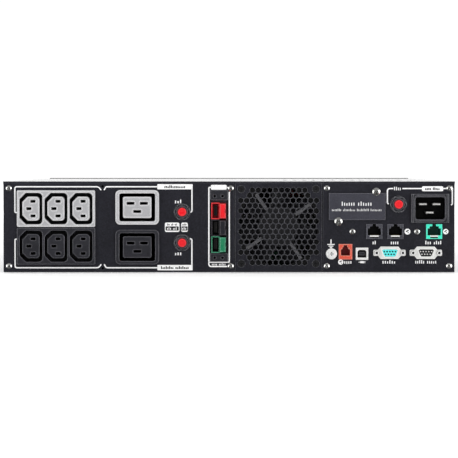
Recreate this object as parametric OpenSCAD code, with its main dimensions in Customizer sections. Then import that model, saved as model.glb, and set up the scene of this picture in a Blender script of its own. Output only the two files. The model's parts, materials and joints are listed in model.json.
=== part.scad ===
// Rack-mount uninterruptible power supply, two rack units high, for a 19 inch rack.
// Origin: centre of the chassis underside. +Z is up, +Y points out of the rear
// connection panel and -Y points out of the front bezel. All sizes are in mm.
// Rear features are placed by u, from the panel's left edge as seen from behind, and
// v, up from the underside.

/* [Enclosure] */
// Chassis width between the rack rails
body_w = 433; // [431:0.5:436]
// Chassis height: two rack units less a sliding gap
body_h = 87; // [87:0.1:88]
// Depth from the bezel face to the rear panel
body_d = 480; // [470:5:560]
// Sheet thickness of the pan, cover and front wall
sheet = 1.2; // [1:0.1:1.4]
// Thickness of the rear plates
plate = 1.5; // [1.2:0.1:1.8]
// Depth of the plastic bezel in front of the front wall
bezel_d = 32; // [28:1:36]

/* [Rack ears] */
// Distance between the left and right rack slots
ear_pitch_x = 465.1; // [464.5:0.1:466]
// Distance between the lower and upper rack slots, at the middle hole of each unit
ear_pitch_z = 44.45; // [44.4:0.05:44.5]
// Height of a rack ear, centred on the chassis
ear_h = 80; // [74:1:86]
// End-to-end length of a rack slot
ear_slot_l = 10.3; // [9:0.1:11]
// Width of a rack slot
ear_slot_w = 6.8; // [6.4:0.1:7.2]

/* [Outlets] */
// Distance between neighbouring small outlets in a bank
outlet_pitch = 24; // [23.5:0.1:24.4]
// Height that the outlet mouldings stand out of the panel
outlet_proud = 2.2; // [1.8:0.1:3]
// Depth of the plug moat around each outlet core
moat_depth = 17; // [15:0.5:18]

/* [Fan grille] */
// Distance between honeycomb columns
comb_dx = 5.58; // [5.5:0.01:5.65]
// Distance between honeycomb rows
comb_dz = 4.97; // [4.9:0.01:5]
// Width of a honeycomb hole across its flats
comb_hole = 4.85; // [4.4:0.05:4.9]
// Number of fan blades
fan_blades = 7; // [5:1:9]

/* [Moving parts] */
// Radius of a breaker reset button
button_r = 4; // [3.8:0.05:4.1]
// Radial clearance of every sliding button and of the fan shaft
running_gap = 0.05; // [0.03:0.01:0.08]
// Diameter of the turning display disc
display_dia = 66; // [62:1:68]

/* [Hidden] */
$fn = 48;
eps = 0.01;

rear_y = body_d / 2;             // outer face of the rear plates
inner_y = rear_y - plate;        // their inner face
front_y = -body_d / 2 + bezel_d; // outer face of the front wall
wall_h = body_h - sheet;         // the cover lies on top of this height
chassis_d = inner_y - front_y;

// Rear panel columns, as u
seam_l = 222;
seam_r = 306;
seam_gap = 0.4;
fan_u = 264.1;
fan_v = 43.85;
fan_size = 80;
fan_hole = 35.75;
fan_depth = 25;
blade_start = 34; // angle of the first blade
comb_rows = [10, 11, 14, 13, 14, 13, 14, 13, 14, 13, 14, 13, 14, 11, 10];

bank_u = 50.8;
bank_v = [61, 25];   // grey, black
bank_w = 75;
bank_h = 35;
bank_body = [72.6, 32.8, 27];
big_u = 128.6;
big_v = [62.2, 24.1]; // grey, black
big_w = 41.8;
big_h = 33.1;
big_body = [38.2, 29.6, 30];
small_slots = [[2, 7], [-2, 0], [2, -7]];
small_slot = [4.8, 2.7];
big_slots = [[-6.4, 3.85], [6.4, 3.85], [0, -4]];
big_slot = [7.4, 2.7];
contact_sunk = 6; // distance from a moulding's face down to its contacts
contact_l = 13;
contact_wall = 0.4;
tab_w = 3.6;
tab_t = 0.8;
tab_out = 4; // tab length behind the moulding

breakers = [[171.6, 57.8], [171.6, 28.3], [378.9, 65.1]];
breaker_case = [15, 22, 30];
bush_r = 5.6;
nut_flats = 13.6;
button_proud = 5.6;
bush_proud = 3.2;

inlet_u = 409.1;
inlet_v = 61.3;
inlet_pins_at = [[-6.6, 3.9], [6.6, 3.9], [0, -4.2]];
inlet_pin = [7.6, 2];

port_u = 207;
port_w = 17.2;
pole_u = 206.6;
port_v = [9.9, 78.7];
pole_v = [58.75, 42.6, 26.45];
pole_pitch = 16.15;
pole_w = 14;
port_hole_v = [13.8, 73];

jack_v = 39;
jack_floor = 3.7;
link_u = [355.8, 376.05];
sensor_u = 413.2;
off_u = 328.2;
off_v = 19.6;
usb_u = 344.05;
usb_v = 17.65;
dsub_u = [370.4, 405.2];
dsub_v = 18.6;
dsub_pin = 2.65;
dsub_row = 1.3;
insert_w = 14.8;
insert_h = 7;
port_depth = 20; // depth of the connectors, up to their circuit board
ground_u = 314.8;
ground_v = 17.6;

cover_u = [312.2, 366.4];
cover_v = [50.1, 75.8];
cover_screws_at = [[357.6, 77.1], [321.4, 48.8]];

plate_screws = [[5.5, 80.4], [5.5, 5.9], [218.2, 80.4], [218.2, 5.9],
                [310.3, 80.4], [310.3, 5.9], [427.6, 80.4], [427.6, 5.9]];
board_screws = [[334.9, 39], [396.9, 39]];
dimples = [[95.4, 82.3], [95.4, 3.7]];

display_x = 158;
display_z = 43.5;
display_r = display_dia / 2;
neck_r = 20;
menu_r = 3.2;
button_at = [[-12, -22.5], [12, -22.5]];

rail_y = [12, 52];      // slide rail holes in the chassis sides
lid_screw_x = [-180, -60, 60, 180];
lid_screw_y = [front_y + 6, inner_y - 6];
return_d = 12;          // depth of the folded returns under the cover
edge_fold = 7.4;        // width of the pan's upright folds behind the rear plates

tray_x = [-208, 104];
tray_y = [front_y + sheet + 1, -6];
tray_z = [2.4, 80];
battery = [151, 94, 65];

charcoal = [0.06, 0.06, 0.075];
lid_grey = [0.1, 0.1, 0.115];
satin_black = [0.03, 0.03, 0.035];
slate = [0.13, 0.13, 0.16];
socket_grey = [0.55, 0.55, 0.57];
zinc = [0.72, 0.72, 0.7];
bright = [0.8, 0.8, 0.8];
gold = [0.85, 0.65, 0.3];
red = [0.85, 0.03, 0.05];
signal_red = [0.9, 0.22, 0.15];
green = [0.05, 0.42, 0.2];
mint = [0.05, 0.75, 0.5];
cyan = [0.1, 0.75, 0.78];
board_green = [0.03, 0.2, 0.1];
copper = [0.6, 0.3, 0.12];
iron = [0.25, 0.25, 0.27];

// ---- placing helpers ----

// Rear panel frame: x to the right as seen from behind, y up, z out of the panel.
module on_rear(u, v, out = 0)
    translate([body_w / 2 - u, rear_y + out, v]) rotate([90, 0, 180]) children();

// Front frame: x to the right as seen from the front, y up, z out of the bezel.
module on_front(x, z, out = 0)
    translate([x, -body_d / 2 - out, z]) rotate([90, 0, 0]) children();

module both_sides() {
    children();
    mirror([1, 0, 0]) children();
}

// ---- outlines ----

module rounded(w, h, r) {
    square([w - 2 * r, h], center = true);
    square([w, h - 2 * r], center = true);
    for (sx = [-1, 1], sy = [-1, 1])
        translate([sx * (w / 2 - r), sy * (h / 2 - r)]) circle(r);
}

// Outlet outline: two chamfered corners on the left, two rounded ones on the right.
module keyed(w, h, cut, r) {
    polygon([[-w / 2 + cut, -h / 2], [w / 2 - r, -h / 2], [w / 2 - r, h / 2],
             [-w / 2 + cut, h / 2], [-w / 2, h / 2 - cut], [-w / 2, -h / 2 + cut]]);
    translate([w / 2 - 2 * r, -h / 2 + r]) square([2 * r, h - 2 * r]);
    for (s = [-1, 1]) translate([w / 2 - r, s * (h / 2 - r)]) circle(r);
}

// Connector outline: a wide top and a narrower bottom.
module dee(w, h, lean = 1.8) {
    polygon([[-w / 2, h / 2 - 1.2], [-w / 2 + 1.2, h / 2], [w / 2 - 1.2, h / 2], [w / 2, h / 2 - 1.2],
             [w / 2 - lean, -h / 2 + 1.2], [w / 2 - lean - 1.2, -h / 2],
             [-w / 2 + lean + 1.2, -h / 2], [-w / 2 + lean, -h / 2 + 1.2]]);
}

// A plate outline with cut corners.
module cut_corners(w, h, cut_x, cut_y) polygon([
    [-w / 2, -h / 2 + cut_y], [-w / 2 + cut_x, -h / 2], [w / 2 - cut_x, -h / 2], [w / 2, -h / 2 + cut_y],
    [w / 2, h / 2 - cut_y], [w / 2 - cut_x, h / 2], [-w / 2 + cut_x, h / 2], [-w / 2, h / 2 - cut_y]]);

module centred_box(w, h, z0, z1) translate([-w / 2, -h / 2, z0]) cube([w, h, z1 - z0]);

// ---- fasteners ----

// Domed screw standing on z = 0, with a cross recess and a plain shank below.
module pan_screw(head_r, head_h, shank_r, shank_l) {
    dome_h = head_h * 0.85;
    dome_r = (head_r * head_r + dome_h * dome_h) / (2 * dome_h);
    difference() {
        intersection() {
            cylinder(r = head_r, h = head_h);
            translate([0, 0, head_h - dome_r]) sphere(r = dome_r);
        }
        for (a = [0, 90]) rotate([0, 0, a])
            centred_box(head_r * 0.9, head_r * 0.2, head_h * 0.45, head_h + 1);
    }
    translate([0, 0, -shank_l]) cylinder(r = shank_r, h = shank_l + eps);
}

// Countersunk screw with its head flush at z = 0.
module flat_screw(head_r, shank_r, head_h, shank_l) {
    difference() {
        translate([0, 0, -head_h]) cylinder(r1 = shank_r, r2 = head_r, h = head_h);
        for (a = [0, 90]) rotate([0, 0, a])
            centred_box(head_r, head_r * 0.22, -head_h * 0.55, 1);
    }
    translate([0, 0, -shank_l]) cylinder(r = shank_r, h = shank_l - head_h + eps);
}

module rear_screws() color(bright) {
    for (p = concat(plate_screws, board_screws))
        on_rear(p[0], p[1]) pan_screw(3, 1.9, 1.5, 6);
}

module case_screws() color(satin_black) {
    for (x = lid_screw_x, y = lid_screw_y)
        translate([x, y, body_h]) flat_screw(2.7, 1.5, sheet, 3);
    both_sides() for (z = [16, body_h - 16], y = [front_y + 14, front_y + 40])
        translate([body_w / 2 + 2, y, z]) rotate([0, 90, 0]) flat_screw(3.4, 2, 1.8, 8);
}

// ---- enclosure ----

module base_pan() color(charcoal) difference() {
    union() {
        translate([-body_w / 2, front_y, 0]) cube([body_w, chassis_d, sheet]);
        both_sides() {
            translate([body_w / 2 - sheet, front_y, 0]) cube([sheet, chassis_d, wall_h]);
            translate([body_w / 2 - 12, front_y, wall_h - sheet]) cube([12, chassis_d, sheet]);
            translate([body_w / 2 - edge_fold, inner_y - sheet, 0]) cube([edge_fold, sheet, wall_h]);
        }
        // folded lip behind the front wall, beside the battery drawer's mouth
        translate([tray_x[1] + 3, front_y + sheet, 0])
            cube([body_w / 2 - tray_x[1] - 3, sheet, 9]);
    }
    // side vents in two fields
    for (y = [-160 : 9 : -70], z = [22 : 15 : 70])
        translate([-body_w, y, z]) cube([2 * body_w, 3.2, 10]);
    for (y = [69 : 9 : 190], z = [22 : 15 : 70])
        translate([-body_w, y, z]) cube([2 * body_w, 3.2, 10]);
    // floor vents under the power board
    for (x = [-30 : 12 : 90], y = [40, 90, 140])
        translate([x, y, -1]) cube([3.4, 34, sheet + 2]);
    // ear and rail screw holes
    for (z = [16, body_h - 16], y = [front_y + 14, front_y + 40])
        translate([-body_w, y, z]) rotate([0, 90, 0]) cylinder(r = 2, h = 2 * body_w);
    for (y = rail_y)
        translate([-body_w, y, body_h / 2]) rotate([0, 90, 0]) cylinder(r = 2, h = 2 * body_w);
    for (p = [plate_screws[0], plate_screws[1], plate_screws[6], plate_screws[7]])
        on_rear(p[0], p[1], -12) cylinder(r = 1.5, h = 11);
}

module top_cover() color(lid_grey) difference() {
    translate([-body_w / 2, front_y, wall_h]) cube([body_w, rear_y - front_y, sheet]);
    for (x = lid_screw_x, y = lid_screw_y)
        translate([x, y, wall_h]) cylinder(r1 = 1.5, r2 = 2.7, h = sheet);
    // vents over the transformer and heat sinks
    for (x = [-190 : 10 : -60], y = [40, 76])
        translate([x, y, wall_h - 1]) cube([3.2, 28, sheet + 2]);
}

// Countersunk hole through a rear plate, with its wide mouth at z = 0.
module sink_hole(head_r, shank_r, head_h) {
    translate([0, 0, -head_h]) cylinder(r1 = shank_r, r2 = head_r, h = head_h);
    translate([0, 0, -6]) cylinder(r = shank_r, h = 6 - head_h + eps);
}

// Folded return under the cover, from u0 to u1 along the panel. It bites by grip into its plate.
module lid_return(u0, u1, grip) on_rear(0, 0, -plate - return_d)
    translate([u0, wall_h - sheet, 0]) cube([u1 - u0, sheet, return_d + grip]);

module lid_screw_holes() for (x = lid_screw_x, y = lid_screw_y)
    translate([x, y, wall_h - 4]) cylinder(r = 1.5, h = 5);

module fan_panel() color(charcoal) difference() {
    union() {
        lid_return(216, seam_r + 6.6, 0);
        on_rear(0, 0, -plate) translate([seam_l + seam_gap, 0, 0])
            cube([seam_r - seam_l - 2 * seam_gap, wall_h, plate]);
        // joggled edges behind the neighbouring plates
        on_rear(0, 0, -2 * plate) translate([216, sheet, 0])
            cube([seam_r + 6.6 - 216, wall_h - sheet, plate]);
    }
    lid_screw_holes();
    on_rear(fan_u, fan_v, -3 * plate) linear_extrude(height = 4 * plate) {
        for (row = [0 : len(comb_rows) - 1], i = [0 : comb_rows[row] - 1])
            translate([(i - (comb_rows[row] - 1) / 2) * comb_dx, ((len(comb_rows) - 1) / 2 - row) * comb_dz])
                rotate(30) circle(r = comb_hole / 2 / cos(30), $fn = 6);
    }
    // the joggle leaves one thickness behind the grille
    on_rear(fan_u, fan_v, -2 * plate) centred_box(fan_size + 0.4, fan_size + 0.4, -1, plate);
    for (sx = [-1, 1], sy = [-1, 1])
        on_rear(fan_u + sx * fan_hole, fan_v + sy * fan_hole) sink_hole(3.6, 2.1, plate);
    for (p = [plate_screws[2], plate_screws[3], plate_screws[4], plate_screws[5]])
        on_rear(p[0], p[1], -12) cylinder(r = 1.5, h = 14);
}

module outlet_plate() color(charcoal) difference() {
    union() {
        on_rear(0, 0, -plate) translate([0.2, 0, 0]) cube([seam_l - seam_gap - 0.2, wall_h, plate]);
        lid_return(12.6, 215.4, eps);
    }
    lid_screw_holes();
    for (v = bank_v) on_rear(bank_u, v) centred_box(bank_body[0], bank_body[1], -9, 9);
    for (v = big_v) on_rear(big_u, v) centred_box(big_body[0], big_body[1], -9, 9);
    for (i = [0, 1]) on_rear(breakers[i][0], breakers[i][1], -9) cylinder(r = bush_r, h = 18);
    on_rear(port_u, 0) translate([-port_w / 2, port_v[0], -9]) cube([port_w, port_v[1] - port_v[0], 18]);
    for (i = [0 : 3]) on_rear(plate_screws[i][0], plate_screws[i][1], -9) cylinder(r = 1.6, h = 18);
    for (p = dimples) on_rear(p[0], p[1], -9) cylinder(r = 1.3, h = 18);
}

module comm_plate() color(charcoal) difference() {
    union() {
        on_rear(0, 0, -plate) translate([seam_r + seam_gap, 0, 0])
            cube([body_w - seam_r - seam_gap - 0.2, wall_h, plate]);
        lid_return(seam_r + 7.2, body_w - 12.6, eps);
    }
    lid_screw_holes();
    on_rear((cover_u[0] + cover_u[1]) / 2, (cover_v[0] + cover_v[1]) / 2) centred_box(46, 19, -9, 9);
    on_rear(breakers[2][0], breakers[2][1], -9) cylinder(r = bush_r, h = 18);
    on_rear(inlet_u, inlet_v) centred_box(32.4, 24.4, -9, 9);
    for (u = concat(link_u, [sensor_u])) on_rear(u, jack_v) centred_box(15.4, 14.2, -9, 9);
    on_rear(off_u, off_v) centred_box(13, 14.8, -9, 9);
    on_rear(usb_u, usb_v) centred_box(12, 11.7, -9, 9);
    for (u = dsub_u) on_rear(u, dsub_v, -9) linear_extrude(height = 18) dee(19.6, 10.4);
    for (u = dsub_u, s = [-1, 1]) on_rear(u + s * 12.5, dsub_v, -9) cylinder(r = 1.6, h = 18);
    for (i = [4 : 7]) on_rear(plate_screws[i][0], plate_screws[i][1], -9) cylinder(r = 1.6, h = 18);
    for (p = board_screws) on_rear(p[0], p[1], -9) cylinder(r = 1.5, h = 18);
    for (p = cover_screws_at) on_rear(p[0], p[1], -9) cylinder(r = 1.5, h = 18);
    on_rear(ground_u, ground_v, -9) cylinder(r = 2, h = 18);
}

module expansion_cover() color(slate) difference() {
    union() {
        on_rear(cover_u[0], cover_v[0]) cube([cover_u[1] - cover_u[0], cover_v[1] - cover_v[0], 1.2]);
        for (p = cover_screws_at) on_rear(p[0], p[1]) cylinder(r = 3.4, h = 1.2);
    }
    for (p = cover_screws_at) on_rear(p[0], p[1], -1) cylinder(r = 1.6, h = 4);
}

module expansion_screws() color(bright)
    for (p = cover_screws_at) on_rear(p[0], p[1], 1.2) pan_screw(4, 2.2, 1.5, 7);

module front_wall() color(charcoal) difference() {
    union() {
        translate([-body_w / 2 + sheet, front_y, sheet])
            cube([body_w - 2 * sheet, sheet, wall_h - 2 * sheet]);
        translate([-body_w / 2 + 12.6, front_y, wall_h - sheet - eps])
            cube([body_w - 25.2, return_d, sheet + eps]);
    }
    lid_screw_holes();
    // drawer mouth, display neck and air slots
    translate([tray_x[0] - 1, front_y - 1, sheet - 1])
        cube([tray_x[1] - tray_x[0] + 2, sheet + 2, tray_z[1] - sheet + 2]);
    on_front(display_x, display_z, -bezel_d - 5) cylinder(r = neck_r + running_gap, h = 10);
    for (x = [display_x - 38, display_x + 30], z = [16 : 7 : 66])
        translate([x, front_y - 1, z]) cube([8, sheet + 2, 3.4]);
}

// ---- rack ears ----

module ear() difference() {
    translate([body_w / 2, front_y, (body_h - ear_h) / 2]) {
        cube([2, 52, ear_h]);
        cube([(482.6 - body_w) / 2, 2.5, ear_h]);
    }
    for (s = [-1, 1])
        translate([ear_pitch_x / 2, front_y - 1, body_h / 2 + s * ear_pitch_z / 2]) rotate([-90, 0, 0])
            linear_extrude(height = 5) {
                square([ear_slot_l - ear_slot_w, ear_slot_w], center = true);
                for (t = [-1, 1]) translate([t * (ear_slot_l - ear_slot_w) / 2, 0]) circle(ear_slot_w / 2);
            }
    for (z = [16, body_h - 16], y = [front_y + 14, front_y + 40])
        translate([body_w / 2 + 2, y, z]) rotate([0, 90, 0]) sink_hole(3.4, 2, 1.8);
}

module rack_ear_left() color(satin_black) mirror([1, 0, 0]) ear();

module rack_ear_right() color(satin_black) ear();

// ---- mains outlets ----

// A hole for one contact: a wide slot at the face and a narrow slit for its solder tab.
module contact_hole(size, depth, top) {
    centred_box(size[0], size[1], top - contact_sunk - contact_l, top + 1);
    centred_box(tab_w, tab_t, -depth - tab_out - 1, top - contact_sunk - contact_l + eps);
}

module contact(size, depth, top) {
    difference() {
        centred_box(size[0], size[1], top - contact_sunk - contact_l, top - contact_sunk);
        centred_box(size[0] - 2 * contact_wall, size[1] - 2 * contact_wall,
                    top - contact_sunk - contact_l + 1, top);
    }
    centred_box(tab_w, tab_t, -depth - tab_out, top - contact_sunk - contact_l + eps);
}

module outlet_bank() difference() {
    union() {
        linear_extrude(height = outlet_proud) rounded(bank_w, bank_h, 1.2);
        centred_box(bank_body[0], bank_body[1], -bank_body[2], eps);
    }
    for (i = [-1 : 1]) translate([i * outlet_pitch, 0, 0]) {
        translate([0, 0, outlet_proud - moat_depth]) linear_extrude(height = moat_depth + 1)
            difference() {
                keyed(21.9, 30.1, 6, 4);
                keyed(16.4, 23, 5.1, 3.3);
            }
        for (p = small_slots) translate([p[0], p[1], 0])
            contact_hole(small_slot, bank_body[2], outlet_proud);
    }
}

module outlet_bank_upper() color(socket_grey) on_rear(bank_u, bank_v[0]) outlet_bank();

module outlet_bank_lower() color(satin_black) on_rear(bank_u, bank_v[1]) outlet_bank();

module large_outlet() difference() {
    union() {
        linear_extrude(height = outlet_proud) rounded(big_w, big_h, 4.5);
        centred_box(big_body[0], big_body[1], -big_body[2], eps);
    }
    translate([0, 0, outlet_proud - moat_depth]) linear_extrude(height = moat_depth + 1)
        difference() {
            rounded(34.3, 26.8, 2);
            rounded(27.3, 20.4, 1.6);
        }
    for (p = big_slots) translate([p[0], p[1], 0])
        contact_hole(big_slot, big_body[2], outlet_proud);
}

module large_outlet_upper() color(socket_grey) on_rear(big_u, big_v[0]) large_outlet();

module large_outlet_lower() color(satin_black) on_rear(big_u, big_v[1]) large_outlet();

module outlet_contacts() color(gold) {
    for (v = bank_v, i = [-1 : 1], p = small_slots)
        on_rear(bank_u + i * outlet_pitch + p[0], v + p[1]) contact(small_slot, bank_body[2], outlet_proud);
    for (v = big_v, p = big_slots)
        on_rear(big_u + p[0], v + p[1]) contact(big_slot, big_body[2], outlet_proud);
}

// ---- breakers ----

module breaker_bodies() color(satin_black)
    for (p = breakers) on_rear(p[0], p[1]) difference() {
        union() {
            centred_box(breaker_case[0], breaker_case[1], -plate - breaker_case[2], -plate);
            translate([0, 0, -plate - eps]) cylinder(r = bush_r, h = plate + bush_proud + eps);
            for (s = [-1, 1]) translate([0, s * 6, 0])
                centred_box(6.3, 0.8, -plate - breaker_case[2] - 9, -plate - breaker_case[2] + eps);
        }
        translate([0, 0, -8]) cylinder(r = button_r + running_gap, h = 20);
    }

module breaker_nuts() color(satin_black)
    for (p = breakers) on_rear(p[0], p[1]) difference() {
        union() {
            cylinder(r = 8.1, h = 0.8);
            translate([0, 0, 0.8]) cylinder(r = nut_flats / 2 / cos(30), h = 1.6, $fn = 6);
        }
        translate([0, 0, -1]) cylinder(r = bush_r, h = 5);
    }

module reset_button(i) color(red) on_rear(breakers[i][0], breakers[i][1]) {
    translate([0, 0, -7]) cylinder(r = button_r, h = 7 + button_proud - 0.7);
    translate([0, 0, button_proud - 0.7 - eps]) cylinder(r1 = button_r, r2 = button_r - 0.7, h = 0.7);
}

module reset_button_upper() reset_button(0);
module reset_button_lower() reset_button(1);
module reset_button_input() reset_button(2);

// ---- mains inlet ----

module power_inlet() color(satin_black) on_rear(inlet_u, inlet_v) difference() {
    union() {
        centred_box(36.4, 27.6, 0, 1.6);
        for (s = [-1, 1]) translate([s * 16.9, 0, 0]) centred_box(2, 27.6, 1.6 - eps, 3);
        translate([0, 0, 1.6 - eps]) linear_extrude(height = 1.2) rounded(31, 24.2, 3.4);
        centred_box(32.4, 24.4, -26, eps);
    }
    translate([0, 0, -18]) linear_extrude(height = 24) rounded(28.4, 21.3, 2.6);
    for (p = inlet_pins_at) translate([p[0], p[1], 0]) centred_box(inlet_pin[0], inlet_pin[1], -30, -17);
}

module inlet_pins() color(zinc) on_rear(inlet_u, inlet_v)
    for (p = inlet_pins_at) translate([p[0], p[1], 0]) {
        centred_box(inlet_pin[0], inlet_pin[1], -34, -2);
        centred_box(inlet_pin[0] - 1.2, inlet_pin[1] - 0.8, -2 - eps, -0.8);
    }

// ---- external battery port ----

module battery_port_frame() color(satin_black) on_rear(port_u, 0) difference() {
    union() {
        // carrier behind the panel and the two screwed end blocks
        translate([-9.6, port_v[0] - 3, -24]) cube([18.4, port_v[1] - port_v[0] + 3.6, 24 - plate]);
        translate([-port_w / 2, port_v[0], -plate - eps]) cube([port_w, 8, plate + 0.4]);
        translate([-port_w / 2, port_v[1] - 9.6, -plate - eps]) cube([port_w, 9.6, plate + 0.4]);
    }
    translate([pole_u - port_u - pole_w / 2, pole_v[2] - pole_pitch / 2, -30])
        cube([pole_w, 3 * pole_pitch, 40]);
    for (v = port_hole_v, x = [-4.2, 3.2]) translate([x, v, -6]) cylinder(r = 1.3, h = 12);
}

// One pole: a square hood on the left that takes the mating contact and a tongue on the right.
module pole() {
    pole_h = pole_pitch - 0.4;
    difference() {
        union() {
            centred_box(pole_w, pole_h, -26, -6);
            translate([-pole_w / 2 + 3.95, 0, 0]) centred_box(7.9, pole_h, -6 - eps, 0.6);
            translate([pole_w / 2 - 3.05, 0, 0]) centred_box(5.7, pole_h - 1.8, -6 - eps, 3.2);
            translate([pole_w / 2 - 3.05, 0, 0]) centred_box(4.6, pole_h - 3, 3.2 - eps, 3.8);
        }
        translate([-pole_w / 2 + 4, 0, 0]) centred_box(6.3, pole_h - 1.6, -20, 6);
        translate([-pole_w / 2 + 3.95, 0, 0]) centred_box(3.2, 10, -30, -19);
        translate([pole_w / 2 - 0.85, 0, 0]) centred_box(0.6, 4, 1, 5);
    }
}

module battery_port_red() color(red) on_rear(pole_u, pole_v[0]) pole();
module battery_port_black() color(satin_black) on_rear(pole_u, pole_v[1]) pole();
module battery_port_green() color(green) on_rear(pole_u, pole_v[2]) pole();

module battery_port_contacts() color(zinc)
    for (v = pole_v) on_rear(pole_u - pole_w / 2 + 3.95, v) {
        centred_box(3.2, 10, -34, -19);
        translate([0.8, 0, 0]) centred_box(1.4, 10, -19 - eps, -11);
    }

// ---- fan ----

fan_front = -plate - fan_depth;

module fan_frame() color(satin_black) on_rear(fan_u, fan_v) difference() {
    union() {
        difference() {
            union() {
                for (z = [fan_front, -plate - 4]) translate([0, 0, z])
                    linear_extrude(height = 4) rounded(fan_size, fan_size, 4);
                translate([0, 0, fan_front]) cylinder(r = 39.6, h = fan_depth);
            }
            translate([0, 0, fan_front - 1]) cylinder(r = 38.2, h = fan_depth + 2);
        }
        // motor plate with its four struts and the bearing post
        translate([0, 0, -plate - 3.4]) cylinder(r = 19.4, h = 2.4);
        for (a = [35, 125, 215, 305]) rotate([0, 0, a])
            translate([18, -1.6, -plate - 3.4]) cube([21, 3.2, 2.4]);
        translate([0, 0, fan_front + 5]) cylinder(r = 4, h = fan_depth - 7.6);
    }
    translate([0, 0, fan_front - 1]) cylinder(r = 1.5 + running_gap, h = fan_depth - 3);
    for (sx = [-1, 1], sy = [-1, 1]) translate([sx * fan_hole, sy * fan_hole, fan_front - 1])
        cylinder(r = 2.1, h = fan_depth + 2);
}

module fan_rotor() color(satin_black) on_rear(fan_u, fan_v) {
    translate([0, 0, fan_front + 2]) {
        difference() {
            cylinder(r = 18.2, h = 17.4);
            translate([0, 0, 2]) cylinder(r = 16.6, h = 20);
        }
        cylinder(r = 1.5, h = 18);
        for (i = [0 : fan_blades - 1]) rotate([0, 0, blade_start + i * 360 / fan_blades])
            intersection() {
                translate([17, 0, 8.6]) rotate([38, 0, 0]) translate([0, -11, -0.7]) cube([21, 22, 1.4]);
                difference() {
                    translate([0, 0, 0.6]) cylinder(r = 37.2, h = 16.2);
                    translate([0, 0, -1]) cylinder(r = 17.4, h = 20);
                }
            }
    }
}

module fan_screws() color(satin_black) on_rear(fan_u, fan_v)
    for (sx = [-1, 1], sy = [-1, 1]) translate([sx * fan_hole, sy * fan_hole, 0])
        flat_screw(3.6, 2.1, plate, 12);

// ---- data ports ----

// Modular jack: a mouth with two steps that narrow upwards to a latch notch. steps holds
// [width, bottom, top] of each, about the jack's centre; slot is a relief cut under the mouth.
module modular_jack(w, h, steps, slot_w = 0) difference() {
    centred_box(w, h, -port_depth, 0.9);
    for (s = steps) translate([-s[0] / 2, s[1], -12]) cube([s[0], s[2] - s[1], 20]);
    if (slot_w > 0) translate([-slot_w / 2, -6.4, -3]) cube([slot_w, 1.3, 10]);
}

module link_jack() modular_jack(15.4, 14.2, [[12.7, -jack_floor, 3], [8.8, 0, 5], [3.6, 0, 9]], 7.4);
module link_jack_in() color(slate) on_rear(link_u[0], jack_v) link_jack();
module link_jack_out() color(slate) on_rear(link_u[1], jack_v) link_jack();
module sensor_jack() color(mint) on_rear(sensor_u, jack_v) link_jack();
module off_jack() color(signal_red) on_rear(off_u, off_v)
    modular_jack(13, 14.8, [[8.6, -jack_floor, 2.4], [5.8, 0, 4.3], [3.5, 0, 6.3]]);

module jack_contacts() color(gold) {
    for (u = concat(link_u, [sensor_u]), i = [0 : 7])
        on_rear(u + (i - 3.5) * 1.02, jack_v - jack_floor + 0.3) centred_box(0.45, 0.5, -12, -2);
    for (i = [0 : 3])
        on_rear(off_u + (i - 1.5) * 1.02, off_v - jack_floor + 0.3) centred_box(0.45, 0.5, -12, -2);
}

module usb_outline(w, h, cut) polygon([[-w / 2, -h / 2], [w / 2, -h / 2], [w / 2, h / 2 - cut],
    [w / 2 - cut, h / 2], [-w / 2 + cut, h / 2], [-w / 2, h / 2 - cut]]);

module usb_shell() color(zinc) on_rear(usb_u, usb_v) difference() {
    centred_box(12, 11.7, -port_depth, 0.8);
    translate([0, 0, -14]) linear_extrude(height = 20) usb_outline(8.6, 7.4, 1.5);
}

module usb_tongue() color(satin_black) on_rear(usb_u, usb_v)
    centred_box(5.4, 3.2, -14, -1.6);

module dsub_shells() color(zinc) for (i = [0, 1]) on_rear(dsub_u[i], dsub_v) difference() {
    union() {
        linear_extrude(height = 0.9) {
            rounded(31, 5.9, 1.2);
            cut_corners(21.8, 11.9, 2.4, 2.9);
        }
        translate([0, 0, 0.9 - eps]) linear_extrude(height = 5.2) dee(17.6 - i * 0.4, 9.4 - i * 0.3);
        translate([0, 0, -port_depth]) linear_extrude(height = port_depth + eps) dee(19.4, 10.2);
    }
    translate([0, 0, -port_depth - 1]) linear_extrude(height = 30) dee(insert_w, insert_h);
    for (s = [-1, 1]) translate([s * 12.5, 0, -1]) cylinder(r = 1.6, h = 6);
}

// Nine contact positions: five in the upper row and four in the lower.
dsub_at = [for (i = [0 : 4]) [(i - 2) * dsub_pin, dsub_row],
           for (i = [0 : 3]) [(i - 1.5) * dsub_pin, -dsub_row]];

module serial_insert() color(cyan) on_rear(dsub_u[0], dsub_v) difference() {
    translate([0, 0, -11]) linear_extrude(height = 16.6) dee(insert_w, insert_h);
    for (p = dsub_at) translate([p[0], p[1], -4]) cylinder(r = 0.85, h = 12);
}

module contact_insert() color(satin_black) on_rear(dsub_u[1], dsub_v) difference() {
    translate([0, 0, -11]) linear_extrude(height = 12) dee(insert_w, insert_h);
    for (p = dsub_at) translate([p[0], p[1], -12]) cylinder(r = 0.5, h = 16);
}

module contact_pins() color(bright) on_rear(dsub_u[1], dsub_v)
    for (p = dsub_at) translate([p[0], p[1], -port_depth - 3]) cylinder(r = 0.5, h = port_depth + 7.8);

module jackscrews() color(zinc) for (u = dsub_u, s = [-1, 1]) on_rear(u + s * 12.5, dsub_v) difference() {
    union() {
        translate([0, 0, 0.9]) cylinder(r = 2.4, h = 4.6, $fn = 6);
        translate([0, 0, -5]) cylinder(r = 1.5, h = 6);
    }
    translate([0, 0, 1.4]) cylinder(r = 1.25, h = 6);
}

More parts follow.
